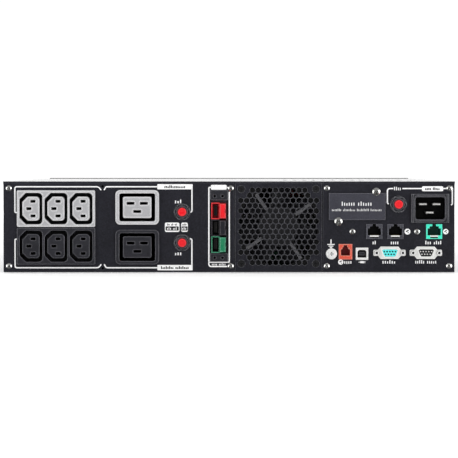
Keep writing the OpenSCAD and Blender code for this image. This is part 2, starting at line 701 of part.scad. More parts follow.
module ground_terminal() color(bright) on_rear(ground_u, ground_v) difference() {
    union() {
        cylinder(r = 5.25, h = 1);
        translate([0, 0, 1 - eps]) cylinder(r = 4.1, h = 0.8);
        translate([0, 0, 1.8 - 2 * eps]) cylinder(r1 = 3.6, r2 = 2.6, h = 2);
        translate([0, 0, -10]) cylinder(r = 2, h = 10.5);
    }
    for (a = [0, 90]) rotate([0, 0, a]) centred_box(3.8, 0.9, 2.6, 6);
}

// ---- inside ----

module comms_board() color(board_green) difference() {
    on_rear(0, 0, -port_depth) translate([322, 10, -1.6]) cube([100, 38, 1.6]);
    for (p = dsub_at) on_rear(dsub_u[1] + p[0], dsub_v + p[1], -30) cylinder(r = 0.5, h = 20);
}

module board_posts() color(zinc) for (p = board_screws) on_rear(p[0], p[1]) difference() {
    translate([0, 0, -port_depth]) cylinder(r = 3, h = port_depth - plate, $fn = 6);
    translate([0, 0, -12]) cylinder(r = 1.5, h = 12);
}

board_x = [-60, 150];
board_span = [20, 190];

module power_board() color(board_green) {
    translate([board_x[0], board_span[0], 8])
        cube([board_x[1] - board_x[0], board_span[1] - board_span[0], 2]);
    for (x = [board_x[0] + 8, board_x[1] - 8], y = [board_span[0] + 8, board_span[1] - 8])
        translate([x, y, sheet]) cylinder(r = 3.5, h = 7);
}

module heatsinks() color(zinc) for (x = [-40, 40]) translate([x, 60, 10]) {
    cube([40, 100, 5]);
    for (i = [0 : 6]) translate([i * 6.2, 0, 5 - eps]) cube([2, 100, 38]);
}

module capacitors() color(slate) for (i = [0 : 4]) translate([115, 40 + i * 32, 10]) {
    cylinder(r = 12.5, h = 44);
    translate([0, 0, 44 - eps]) cylinder(r1 = 12.5, r2 = 11.7, h = 1);
}

core = [95, 72, 70];
core_at = [-190, 40];

module transformer_core() color(iron) translate([core_at[0], core_at[1], sheet]) difference() {
    cube(core);
    for (x = [17, 57]) translate([x, -1, 16]) cube([21, core[1] + 2, core[2] - 32]);
    for (x = [7, core[0] - 7], y = [8, core[1] - 8]) translate([x, y, -1]) cylinder(r = 2.2, h = core[2] + 2);
}

module transformer_coil() color(copper)
    translate([core_at[0] + 17, core_at[1] - 13, sheet + 16]) difference() {
        cube([61, core[1] + 26, core[2] - 32]);
        translate([21, 13, -1]) cube([19, core[1], core[2]]);
    }

// ---- battery drawer ----

tray_w = tray_x[1] - tray_x[0];
tray_d = tray_y[1] - tray_y[0];

module battery_tray() color(zinc) {
    translate([tray_x[0], tray_y[0], tray_z[0]]) {
        cube([tray_w, tray_d, 1.2]);
        for (x = [0, tray_w - 1.2]) translate([x, 0, 0]) cube([1.2, tray_d, 58]);
        translate([0, tray_d - 1.2, 0]) cube([tray_w, 1.2, 58]);
        cube([tray_w, 1.2, tray_z[1] - tray_z[0]]);
        // pull handle in front of the drawer
        for (x = [tray_w / 2 - 50, tray_w / 2 + 42]) translate([x, -14, 36]) cube([8, 14 + eps, 8]);
        translate([tray_w / 2 - 50, -18, 36]) cube([100, 4 + eps, 8]);
    }
}

module battery_blocks() color(slate) translate([tray_x[0] + 4, tray_y[0] + 2.4, tray_z[0] + 1.2])
    for (i = [0, 1], j = [0, 1]) translate([i * (battery[0] + 1.6), j * (battery[1] + 1.2), 0]) {
        cube(battery);
        for (x = [10, battery[0] - 16])
            translate([x, battery[1] / 2 - 3, battery[2] - eps]) cube([6.3, 0.8, 6]);
    }

module battery_lead() color(red) translate([tray_x[0] + 116, tray_y[0], tray_z[0] + 1.2 + battery[2]]) {
    // two flat conductors into one plug at the back of the drawer
    for (x = [10, 33]) translate([x, 30, 0]) cube([6, 150, 4]);
    translate([6, 172, 0]) cube([37, 20, 9]);
}

// ---- front ----

module front_bezel() color(satin_black) difference() {
    on_front(0, body_h / 2) {
        difference() {
            translate([0, 0, -bezel_d]) linear_extrude(height = bezel_d) rounded(body_w, body_h, 4);
            translate([0, 0, -bezel_d - 1]) linear_extrude(height = bezel_d - 2)
                rounded(body_w - 5, body_h - 5, 3);
        }
    }
    on_front(display_x, display_z, -6) cylinder(r = display_r + 1.2, h = 10);
    // slotted air fields
    for (x = [-200 : 7 : 98]) translate([x, -body_d / 2 - 1, 14]) cube([3.6, 5, body_h - 28]);
    for (s = [-1, 1]) on_front(display_x + s * 45, display_z) centred_box(4, 50, -6, 6);
}

module display_disc() color(slate) on_front(display_x, display_z) difference() {
    union() {
        translate([0, 0, -8]) cylinder(r = display_r, h = 9.5);
        translate([0, 0, -bezel_d - 4]) cylinder(r = neck_r, h = bezel_d);
        translate([0, 0, -bezel_d - 4]) cylinder(r = neck_r + 4, h = 2);
    }
    centred_box(44, 30, -0.8, 6);
    for (p = button_at) translate([p[0], p[1], -6]) cylinder(r = menu_r + running_gap, h = 12);
}

module display_window() color([0.1, 0.2, 0.3]) on_front(display_x, display_z)
    centred_box(44, 30, -0.8, 1.2);

module front_button(i) color(socket_grey)
    on_front(display_x + button_at[i][0], display_z + button_at[i][1]) {
        translate([0, 0, -4.5]) cylinder(r = menu_r, h = 6.5);
        translate([0, 0, 2 - eps]) cylinder(r1 = menu_r, r2 = menu_r - 0.4, h = 0.4);
    }

module button_power() front_button(0);
module button_menu() front_button(1);

base_pan();
top_cover();
fan_panel();
outlet_plate();
comm_plate();
front_wall();
rack_ear_left();
rack_ear_right();
rear_screws();
case_screws();
expansion_cover();
expansion_screws();
outlet_bank_upper();
outlet_bank_lower();
large_outlet_upper();
large_outlet_lower();
outlet_contacts();
breaker_bodies();
breaker_nuts();
reset_button_upper();
reset_button_lower();
reset_button_input();
power_inlet();
inlet_pins();
battery_port_frame();
battery_port_red();
battery_port_black();
battery_port_green();
battery_port_contacts();
fan_frame();
fan_rotor();
fan_screws();
link_jack_in();
link_jack_out();
sensor_jack();
off_jack();
jack_contacts();
usb_shell();
usb_tongue();
dsub_shells();
serial_insert();
contact_insert();
contact_pins();
jackscrews();
ground_terminal();
comms_board();
board_posts();
power_board();
heatsinks();
capacitors();
transformer_core();
transformer_coil();
battery_tray();
battery_blocks();
battery_lead();
front_bezel();
display_disc();
display_window();
button_power();
button_menu();
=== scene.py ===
# Looks for a two-unit rackmount uninterruptible power supply, seen at its rear connection panel.
import bpy
import bmesh
import json
import math
import random
from mathutils import Matrix, Vector

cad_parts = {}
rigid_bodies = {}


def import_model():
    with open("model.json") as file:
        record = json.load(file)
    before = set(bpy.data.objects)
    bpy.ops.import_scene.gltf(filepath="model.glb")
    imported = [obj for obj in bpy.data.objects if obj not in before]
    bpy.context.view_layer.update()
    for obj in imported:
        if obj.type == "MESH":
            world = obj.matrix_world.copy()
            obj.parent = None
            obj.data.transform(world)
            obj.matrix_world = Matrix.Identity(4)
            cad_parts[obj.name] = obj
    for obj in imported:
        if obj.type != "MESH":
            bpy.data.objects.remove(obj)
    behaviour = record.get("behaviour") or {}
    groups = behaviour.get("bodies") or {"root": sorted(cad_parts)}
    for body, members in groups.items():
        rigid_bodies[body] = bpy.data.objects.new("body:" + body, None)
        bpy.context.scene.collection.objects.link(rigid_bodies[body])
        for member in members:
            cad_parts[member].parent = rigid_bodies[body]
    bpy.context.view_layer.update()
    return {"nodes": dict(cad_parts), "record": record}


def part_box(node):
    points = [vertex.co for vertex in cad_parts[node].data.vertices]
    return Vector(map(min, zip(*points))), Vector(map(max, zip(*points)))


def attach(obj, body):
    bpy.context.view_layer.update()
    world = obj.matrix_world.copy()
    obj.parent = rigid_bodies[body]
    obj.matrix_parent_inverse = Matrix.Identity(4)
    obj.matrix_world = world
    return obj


for leftover in list(bpy.data.objects):
    bpy.data.objects.remove(leftover)
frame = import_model()
NODES = frame["nodes"]

MM = 0.001
PANEL_W = 433.0
REAR_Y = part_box("outlet_plate")[1].y
FRONT_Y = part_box("front_bezel")[0].y
# Local frames in mm. REAR and FRONT have x right and y up as seen from outside and z out of the face; REAR
# starts at the panel's lower left corner. TOP runs along the world axes.
REAR = Matrix(((-MM, 0, 0, PANEL_W / 2 * MM), (0, 0, MM, REAR_Y), (0, MM, 0, 0), (0, 0, 0, 1)))
FRONT = Matrix(((MM, 0, 0, 0), (0, 0, -MM, FRONT_Y), (0, MM, 0, 0), (0, 0, 0, 1)))
TOP = Matrix(((MM, 0, 0, 0), (0, MM, 0, 0), (0, 0, MM, 0), (0, 0, 0, 1)))


def add(name, data):
    obj = bpy.data.objects.new(name, data)
    bpy.context.scene.collection.objects.link(obj)
    return obj


def centre(node):
    low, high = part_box(node)
    return (low + high) / 2


# ---------------------------------------------------------------- materials

class NodeTree:
    """A small helper that strings shader nodes together."""

    def __init__(self, tree):
        self.tree = tree

    def node(self, kind, **props):
        made = self.tree.nodes.new(kind)
        for key, value in props.items():
            setattr(made, key, value)
        return made

    def link(self, a, b):
        self.tree.links.new(a, b)

    def put(self, socket, value):
        if hasattr(value, "is_output"):
            self.link(value, socket)
        else:
            socket.default_value = value

    def ramp(self, value, low, high, to_low=0.0, to_high=1.0, easing="LINEAR"):
        out = self.node("ShaderNodeMapRange", interpolation_type=easing)
        self.put(out.inputs["Value"], value)
        for key, v in (("From Min", low), ("From Max", high), ("To Min", to_low), ("To Max", to_high)):
            out.inputs[key].default_value = v
        return out.outputs["Result"]

    def math(self, op, a, b=0.0):
        out = self.node("ShaderNodeMath", operation=op)
        self.put(out.inputs[0], a)
        self.put(out.inputs[1], b)
        return out.outputs[0]

    def mix(self, fac, a, b):
        out = self.node("ShaderNodeMix", data_type="RGBA")
        self.put(out.inputs[0], fac)
        self.put(out.inputs[6], a if hasattr(a, "is_output") else (*a, 1.0))
        self.put(out.inputs[7], b if hasattr(b, "is_output") else (*b, 1.0))
        return out.outputs[2]


class Shader(NodeTree):
    """The node tree of one new material, with its coordinates in metres of the shared frame."""

    def __init__(self, name):
        self.mat = bpy.data.materials.new(name)
        self.mat.use_nodes = True
        super().__init__(self.mat.node_tree)
        self.bsdf = self.tree.nodes["Principled BSDF"]
        self.coord = self.node("ShaderNodeTexCoord").outputs["Object"]

    def noise(self, scale, detail=3.0, rough=0.55, stretch=None, shift=0.0):
        tex = self.node("ShaderNodeTexNoise")
        tex.inputs["Scale"].default_value = scale
        tex.inputs["Detail"].default_value = detail
        tex.inputs["Roughness"].default_value = rough
        place = self.node("ShaderNodeMapping")
        place.inputs["Location"].default_value = (shift, shift * 0.7, -shift)
        if stretch:
            place.inputs["Scale"].default_value = stretch
        self.link(self.coord, place.inputs["Vector"])
        self.link(place.outputs[0], tex.inputs["Vector"])
        return tex.outputs["Fac"]

    def split(self, vector):
        out = self.node("ShaderNodeSeparateXYZ")
        self.link(vector, out.inputs[0])
        return out.outputs


def shade(color, k):
    return tuple(min(1.0, c * k) for c in color)


DUST = (0.34, 0.33, 0.31)
ZONE_BLUR = 0.0008  # m over which a zone's colour fades out
FLAT_DOT = 0.997  # bevelled and true normals agree at least this well away from edges


def finish(name, base, rough, metal=0.0, vary=0.12, spots=45.0, grain=1500.0, bump=0.12, depth=0.00008,
           wear=0.3, wear_and_highlight_colour=None, edge=0.0004, rough_vary=0.1, stretch=None, coat=0.0, specular=0.5,
           dust=0.06, lamp_and_painted_glow=0.0, speckle=0.0, shadow=0.0, reach=0.006, painted_depth_shade=None, painted_rim_highlight=0.0, keen=0.86,
           painted_light_zones=()):
    """One procedural finish: colour drift, grain, uneven gloss, worn edges with painted edge highlights,
    dust, painted shade in recesses and openings, and glow.

    vary is how far the colour drifts over patches of the size 1 / spots, grain the scale of the fine
    grain and bump and depth its relief. Edges within edge of a turn take the colour
    wear_and_highlight_colour:
    painted_rim_highlight is the even part of that, a painted edge highlight, wear its ragged part, real wear,
    and keen how sharp a turn counts in full. shadow is painted shade that darkens places closed in within
    reach. painted_depth_shade is painted shade in openings: (Y of the face, depth over which openings darken,
    the dark colour), painted_light_zones are (x, z, radius, colour) for round areas of another colour that
    paint light and shade, and lamp_and_painted_glow makes the surface emit its colour.
    """
    s = Shader(name)
    drift = s.noise(spots, 4.0, shift=len(name) * 0.37)
    grainy = s.noise(grain, 2.0, stretch=stretch, shift=0.3)
    color = s.mix(s.ramp(drift, 0.3, 0.7), shade(base, 1.0 - vary), shade(base, 1.0 + vary))
    color = s.mix(s.ramp(grainy, 0.35, 0.8, 0.0, vary), color, shade(base, 0.6))
    if speckle:
        flecks = s.noise(620.0, 2.0, 0.7, shift=4.1)
        color = s.mix(s.ramp(flecks, 0.5, 0.72, 0.0, speckle), color, shade(base, 2.0))
        color = s.mix(s.ramp(flecks, 0.5, 0.3, 0.0, speckle), color, shade(base, 0.3))
    bevel = s.node("ShaderNodeBevel", samples=4)
    bevel.inputs["Radius"].default_value = edge
    normal = s.node("ShaderNodeNewGeometry").outputs["Normal"]
    dot = s.node("ShaderNodeVectorMath", operation="DOT_PRODUCT")
    s.link(bevel.outputs[0], dot.inputs[0])
    s.link(normal, dot.inputs[1])
    at_edge = s.ramp(dot.outputs["Value"], FLAT_DOT, keen)
    # painted edge highlight: an even lightening along every edge, under the ragged real wear
    ragged_wear_and_highlight = s.ramp(s.noise(420.0, 3.0, shift=1.7), 0.42, 0.62, painted_rim_highlight, max(painted_rim_highlight, wear))
    wear_and_highlight_here = s.math("MULTIPLY", at_edge, ragged_wear_and_highlight)
    color = s.mix(wear_and_highlight_here, color, wear_and_highlight_colour or shade(base, 2.2))
    if dust:
        facing_up = s.ramp(s.split(normal)["Z"], 0.5, 1.0)
        lying = s.math("MULTIPLY", facing_up, s.ramp(s.noise(140.0), 0.4, 0.7))
        color = s.mix(s.math("MULTIPLY", lying, dust), color, DUST)
    if shadow:
        # painted shade: darkens the colour where the surface is closed in
        near = s.node("ShaderNodeAmbientOcclusion", samples=8)
        near.inputs["Distance"].default_value = reach
        color = s.mix(s.ramp(near.outputs["AO"], 0.75, 0.25, 0.0, shadow), color, shade(base, 0.03))
    where = s.split(s.coord) if painted_depth_shade or painted_light_zones else None
    # painted light and shade: round areas of a lighter or darker colour
    for at_x, at_z, radius, inside in painted_light_zones:
        dx = s.math("SUBTRACT", where["X"], at_x)
        dz = s.math("SUBTRACT", where["Z"], at_z)
        span = s.math("ADD", s.math("MULTIPLY", dx, dx), s.math("MULTIPLY", dz, dz))
        color = s.mix(s.ramp(span, radius ** 2, (radius + ZONE_BLUR) ** 2, 1.0, 0.0), color, inside)
    # painted shade: openings darken with depth behind the face
    if painted_depth_shade:
        face, fade, depth_shade_colour = painted_depth_shade
        color = s.mix(s.ramp(where["Y"], face, face - fade, 0.0, 0.96), color, depth_shade_colour)
    s.put(s.bsdf.inputs["Base Color"], color)
    gloss = s.ramp(s.noise(110.0, 5.0, shift=2.9), 0.3, 0.7, rough - rough_vary, rough + rough_vary)
    gloss = s.math("ADD", gloss, s.math("MULTIPLY", wear_and_highlight_here, -0.12))
    for key, value in (("Roughness", gloss), ("Metallic", metal), ("Specular IOR Level", specular),
                       ("Coat Weight", coat), ("Coat Roughness", 0.12)):
        s.put(s.bsdf.inputs[key], value)
    # emission: a real lamp for the display and the status light, painted light for every other finish
    if lamp_and_painted_glow:
        s.put(s.bsdf.inputs["Emission Color"], color)
        s.put(s.bsdf.inputs["Emission Strength"], lamp_and_painted_glow)
    rise = s.node("ShaderNodeBump")
    rise.inputs["Strength"].default_value = bump
    rise.inputs["Distance"].default_value = depth
    s.link(grainy, rise.inputs["Height"])
    s.link(bevel.outputs[0], rise.inputs["Normal"])
    s.link(rise.outputs[0], s.bsdf.inputs["Normal"])
    return s.mat


STEEL_WORN = (0.32, 0.32, 0.33)
NEAR_WHITE = (0.97, 0.97, 0.97)
# the colour that openings darken to: painted shade
PAINTED_SHADE_BLACK = (0.0015, 0.0015, 0.002)
FAN_X, FAN_Z = centre("fan_frame").x, centre("fan_frame").z
PIN_TIP_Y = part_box("inlet_pins")[1].y


def pole_depth_shade(depth_shade_colour):
    """Painted shade in the battery connectors' openings, which darkens over 3 mm."""
    return REAR_Y - 0.0004, 0.003, depth_shade_colour


def jack_depth_shade(depth_shade_colour):
    """Painted shade in the modular jacks' mouths, which darkens over 2.2 mm."""
    return REAR_Y + 0.0002, 0.0022, depth_shade_colour


# What the panel's paint, the black moulded parts and the bright plating share.
PANEL_PAINT = dict(base=(0.0185, 0.0185, 0.027), rough=0.55, grain=1900, bump=0.5, vary=0.16, specular=0.3,
                   speckle=0.35)
BLACK_MOULDING = dict(base=(0.026, 0.026, 0.034), rough=0.4, grain=2400, bump=0.25, wear=0.8,
                      wear_and_highlight_colour=(0.21, 0.21, 0.235), edge=0.0014, speckle=0.25, shadow=0.9, reach=0.004, painted_rim_highlight=0.65,
                      keen=0.96)
PLATING = dict(metal=0.3, grain=700, bump=0.05, wear=0.2, wear_and_highlight_colour=NEAR_WHITE, dust=0.0)
COLOURED = dict(grain=1800, bump=0.1, dust=0.0)

# Where these finishes lighten every edge evenly, glow, or darken recesses and openings, that is painted
# highlight, painted light and painted shade.
FINISHES = {
    "powder_coat": dict(PANEL_PAINT, wear=0.7, wear_and_highlight_colour=(0.12, 0.12, 0.14), edge=0.001, painted_rim_highlight=0.5, keen=0.95),
    "cover_coat": dict(base=(0.019, 0.019, 0.026), rough=0.27, grain=1900, bump=0.03, depth=0.00005,
                       vary=0.06, spots=9, wear=0.5, wear_and_highlight_colour=(0.1, 0.1, 0.11), edge=0.0006, coat=0.3,
                       rough_vary=0.025, dust=0.012, speckle=0.08),
    "ear_coat": dict(base=(0.014, 0.014, 0.017), rough=0.46, bump=0.4, wear=0.5, wear_and_highlight_colour=STEEL_WORN),
    "cover_plate": dict(base=(0.057, 0.057, 0.075), rough=0.5, grain=1900, bump=0.4, vary=0.1, wear=0.6,
                        wear_and_highlight_colour=(0.3, 0.3, 0.33), edge=0.0011, specular=0.3, speckle=0.2, painted_rim_highlight=0.55, keen=0.94),
    "nickel_screw": dict(base=(0.8, 0.8, 0.78), rough=0.14, metal=1.0, grain=900, bump=0.03, wear=0.2,
                         wear_and_highlight_colour=(0.9, 0.9, 0.88), rough_vary=0.05, dust=0.0, shadow=0.9, reach=0.0012),
    "black_screw": dict(base=(0.016, 0.016, 0.018), rough=0.34, grain=900, bump=0.15, wear=0.5,
                        wear_and_highlight_colour=(0.16, 0.16, 0.17), edge=0.0003, shadow=0.8, reach=0.0015),
    "nut_metal": dict(base=(0.022, 0.022, 0.028), rough=0.24, grain=1200, bump=0.1, wear=0.7,
                      wear_and_highlight_colour=(0.55, 0.55, 0.6), edge=0.0007, coat=0.4, painted_rim_highlight=0.45, keen=0.88, shadow=0.8,
                      reach=0.0014),
    "plated_metal": dict(PLATING, base=(0.92, 0.92, 0.9), rough=0.4, vary=0.05, shadow=0.6, reach=0.0016,
                         lamp_and_painted_glow=0.22, painted_depth_shade=(REAR_Y - 0.0003, 0.0016, PAINTED_SHADE_BLACK)),
    "zinc_sheet": dict(base=(0.42, 0.43, 0.44), rough=0.5, metal=0.6, vary=0.16, spots=120, grain=500,
                       bump=0.06, wear=0.2, wear_and_highlight_colour=(0.6, 0.6, 0.61), rough_vary=0.05),
    "grey_plastic": dict(base=(0.47, 0.47, 0.485), rough=0.42, vary=0.04, grain=2400, bump=0.2, wear=1.0,
                         wear_and_highlight_colour=(0.97, 0.97, 0.98), edge=0.003, dust=0.03, speckle=0.06, painted_rim_highlight=0.95, keen=0.965,
                         painted_depth_shade=(REAR_Y + 0.0017, 0.0012, PAINTED_SHADE_BLACK)),
    "black_plastic": BLACK_MOULDING,
    "port_black": dict(base=(0.018, 0.018, 0.024), rough=0.34, vary=0.15, grain=2000, bump=0.2, wear=0.8,
                       wear_and_highlight_colour=(0.17, 0.15, 0.17), edge=0.0007, shadow=0.9, reach=0.004, painted_rim_highlight=0.5, keen=0.93,
                       painted_depth_shade=pole_depth_shade(PAINTED_SHADE_BLACK)),
    "red_plastic": dict(COLOURED, base=(0.86, 0.009, 0.018), rough=0.34, vary=0.06, wear=0.5,
                        wear_and_highlight_colour=(0.98, 0.34, 0.34), edge=0.0007, shadow=0.85, reach=0.0012, specular=0.35,
                        painted_rim_highlight=0.35, lamp_and_painted_glow=0.12, painted_depth_shade=pole_depth_shade((0.3, 0.004, 0.01))),
    "green_plastic": dict(COLOURED, base=(0.016, 0.27, 0.12), rough=0.3, vary=0.06, wear=0.9,
                          wear_and_highlight_colour=(0.3, 0.85, 0.58), edge=0.0009, shadow=0.85, reach=0.0012, painted_rim_highlight=0.5,
                          painted_depth_shade=pole_depth_shade((0.001, 0.006, 0.003))),
    "mint_plastic": dict(COLOURED, base=(0.04, 0.88, 0.6), rough=0.32, vary=0.05, wear=0.5,
                         wear_and_highlight_colour=(0.5, 0.98, 0.84), edge=0.0009, painted_rim_highlight=0.5, lamp_and_painted_glow=0.1,
                         painted_depth_shade=jack_depth_shade((0.002, 0.035, 0.028))),
    "signal_red": dict(COLOURED, base=(0.84, 0.1, 0.055), rough=0.34, vary=0.08, wear=0.9,
                       wear_and_highlight_colour=(0.99, 0.55, 0.42), edge=0.0014, painted_rim_highlight=0.6, keen=0.94, lamp_and_painted_glow=0.05,
                       painted_depth_shade=jack_depth_shade((0.3, 0.008, 0.016))),
    "cyan_plastic": dict(COLOURED, base=(0.12, 0.9, 0.88), rough=0.34, vary=0.05, wear=0.2, shadow=0.97,
                         reach=0.0012, lamp_and_painted_glow=0.12, painted_depth_shade=(REAR_Y + 0.005, 0.0012, PAINTED_SHADE_BLACK)),
    "jack_grey": dict(base=(0.07, 0.07, 0.088), rough=0.38, vary=0.1, grain=2200, bump=0.2, wear=0.7,
                      wear_and_highlight_colour=(0.3, 0.3, 0.34), edge=0.0008, painted_rim_highlight=0.6, keen=0.93, painted_depth_shade=jack_depth_shade(PAINTED_SHADE_BLACK)),
    "contact_metal": dict(base=(0.5, 0.44, 0.32), rough=0.3, metal=1.0, grain=600, bump=0.05, wear=0.2,
                          shadow=0.9, painted_depth_shade=(REAR_Y - 0.002, 0.004, PAINTED_SHADE_BLACK)),
    "gold_contact": dict(base=(0.9, 0.7, 0.32), rough=0.2, metal=1.0, grain=600, bump=0.04, wear=0.1,
                         dust=0.0, shadow=0.6, reach=0.003),
    "circuit_board": dict(base=(0.01, 0.1, 0.045), rough=0.35, vary=0.2, spots=160, grain=900, bump=0.2,
                          wear=0.4, wear_and_highlight_colour=(0.3, 0.32, 0.16)),
    "bare_aluminium": dict(base=(0.62, 0.63, 0.64), rough=0.34, metal=1.0, grain=500, bump=0.08,
                           stretch=(6, 0.3, 6), wear=0.2),
    "capacitor_sleeve": dict(base=(0.012, 0.018, 0.05), rough=0.28, grain=700, bump=0.08, wear=0.1, coat=0.3),
    "steel_laminate": dict(base=(0.1, 0.095, 0.09), rough=0.42, metal=0.7, grain=900, bump=0.7,
                           stretch=(0.05, 4, 0.05), vary=0.3, wear=0.4, wear_and_highlight_colour=STEEL_WORN),
    "copper_winding": dict(base=(0.36, 0.12, 0.035), rough=0.3, metal=0.6, grain=420, bump=0.9, depth=0.0004,
                           stretch=(0.1, 0.1, 5), vary=0.25, wear=0.1),
    "battery_case": dict(base=(0.032, 0.036, 0.046), rough=0.45, vary=0.15, grain=1400, bump=0.3,
                         wear_and_highlight_colour=(0.1, 0.1, 0.12)),
    "lead_sleeve": dict(base=(0.52, 0.012, 0.016), rough=0.5, grain=900, bump=0.15, wear=0.1),
    "bezel_plastic": dict(base=(0.015, 0.015, 0.019), rough=0.44, vary=0.18, grain=2000, bump=0.5,
                          depth=0.0001, wear_and_highlight_colour=(0.06, 0.06, 0.07), edge=0.0006, speckle=0.2),
    "disc_plastic": dict(base=(0.012, 0.012, 0.015), rough=0.16, vary=0.1, bump=0.03, wear=0.2,
                         wear_and_highlight_colour=(0.06, 0.06, 0.07), coat=0.6, rough_vary=0.05),
    "display_glass": dict(base=(0.012, 0.035, 0.06), rough=0.1, vary=0.06, bump=0.01, wear=0.05, coat=0.8,
                          rough_vary=0.03, dust=0.02),
    "button_grey": dict(base=(0.22, 0.22, 0.23), rough=0.4, vary=0.08, grain=2000, bump=0.2),
}
# Nodes that differ from the finish of their slot. Their even edge lightening, glow and darkened openings are
# painted highlight, painted light and painted shade too.
NODE_FINISHES = {
    "fan_panel": ("grille_coat", dict(PANEL_PAINT, wear=0.9, wear_and_highlight_colour=(0.24, 0.24, 0.26), edge=0.0006, painted_rim_highlight=0.75,
                                      keen=0.96)),
    "fan_rotor": ("rotor_plastic", dict(base=(0.026, 0.026, 0.031), rough=0.42, vary=0.1, grain=2200,
                                        bump=0.2, wear=0.5, wear_and_highlight_colour=(0.16, 0.16, 0.17), edge=0.001,
                                        speckle=0.2, painted_rim_highlight=0.4)),
    # The frame is darker than the rotor as painted shade, and the ring between hub and duct lighter as
    # painted light on the struts.
    "fan_frame": ("fan_frame_plastic", dict(base=(0.005, 0.005, 0.006), rough=0.5, vary=0.1, grain=2200,
                                            bump=0.2, wear_and_highlight_colour=(0.08, 0.08, 0.09), edge=0.0008,
                                            painted_light_zones=((FAN_X, FAN_Z, 0.0375, (0.2, 0.2, 0.215)),
                                                   (FAN_X, FAN_Z, 0.0195, (0.026, 0.026, 0.031))))),
    "ground_terminal": ("ground_plating", dict(PLATING, base=(0.93, 0.93, 0.92), rough=0.34, vary=0.04,
                                               shadow=0.97, reach=0.0024, lamp_and_painted_glow=0.2)),
    "jackscrews": ("jackscrew_plating", dict(PLATING, base=(0.92, 0.92, 0.91), rough=0.36, vary=0.04,
                                             shadow=0.95, reach=0.001, lamp_and_painted_glow=0.2,
                                             painted_depth_shade=(REAR_Y + 0.0046, 0.001, PAINTED_SHADE_BLACK))),
    "inlet_pins": ("pin_plating", dict(base=(0.93, 0.92, 0.9), rough=0.3, metal=0.4, vary=0.05, grain=700,
                                       bump=0.05, wear=0.2, dust=0.0, lamp_and_painted_glow=0.1,
                                       painted_depth_shade=(PIN_TIP_Y - 0.0006, 0.0012, PAINTED_SHADE_BLACK))),
    "power_inlet": ("inlet_plastic", dict(BLACK_MOULDING, painted_depth_shade=(REAR_Y - 0.0005, 0.003, PAINTED_SHADE_BLACK))),
}
MATS = {slot: finish(slot, **look) for slot, look in FINISHES.items()}
NODE_MATS = {node: finish(name, **look) for node, (name, look) in NODE_FINISHES.items()}
# The white print glows a little: painted light.
INK_WHITE = finish("ink_white", (0.95, 0.95, 0.95), 0.55, vary=0.04, spots=300, grain=2600, bump=0.2,
                   wear=0.0, dust=0.0, lamp_and_painted_glow=0.16)
INK_DARK = finish("ink_dark", (0.012, 0.012, 0.014), 0.5, vary=0.1, grain=2600, bump=0.2, wear=0.0, dust=0.0)
FOAM = finish("filter_foam", (0.02, 0.02, 0.022), 0.9, vary=0.3, grain=700, bump=1.0, depth=0.0008, wear=0.0)
GLOW_TEAL = finish("display_marks", (0.25, 0.75, 0.95), 0.4, lamp_and_painted_glow=1.6, wear=0.0, dust=0.0)
GLOW_GREEN = finish("status_light", (0.1, 0.9, 0.3), 0.4, lamp_and_painted_glow=2.5, wear=0.0, dust=0.0)


# ---------------------------------------------------------------- shapes

SHARP = math.radians(35)
CORNER_STEPS = 5
BEND_STEPS = 4
OVERLAP = 0.02  # mm by which marks reach into the face they lie on


def circle(cx, cy, r, n):
    turns = [a * 2 * math.pi / n for a in range(n)]
    return [(cx + r * math.cos(a), cy + r * math.sin(a)) for a in turns]


def rounded(cx, cy, w, h, r):
    """A rectangle's outline with round corners."""
    pts = []
    r = min(r, w / 2 - 0.01, h / 2 - 0.01)
    for sx, sy, start in ((1, 1, 0), (-1, 1, 90), (-1, -1, 180), (1, -1, 270)):
        for i in range(CORNER_STEPS + 1):
            a = math.radians(start + 90 * i / CORNER_STEPS)
            pts.append((cx + sx * (w / 2 - r) + r * math.cos(a), cy + sy * (h / 2 - r) + r * math.sin(a)))
    return pts


def soften(pts, r):
    """Rounds the corners of an open path."""
    out = [pts[0]]
    for i in range(1, len(pts) - 1):
        a, b, c = Vector(pts[i - 1]), Vector(pts[i]), Vector(pts[i + 1])
        k = min(r, (a - b).length * 0.45, (c - b).length * 0.45)
        p, q = b + (a - b).normalized() * k, b + (c - b).normalized() * k
        for j in range(BEND_STEPS + 1):
            t = j / BEND_STEPS
            out.append(tuple(p * (1 - t) ** 2 + b * 2 * t * (1 - t) + q * t * t))
    return out + [pts[-1]]


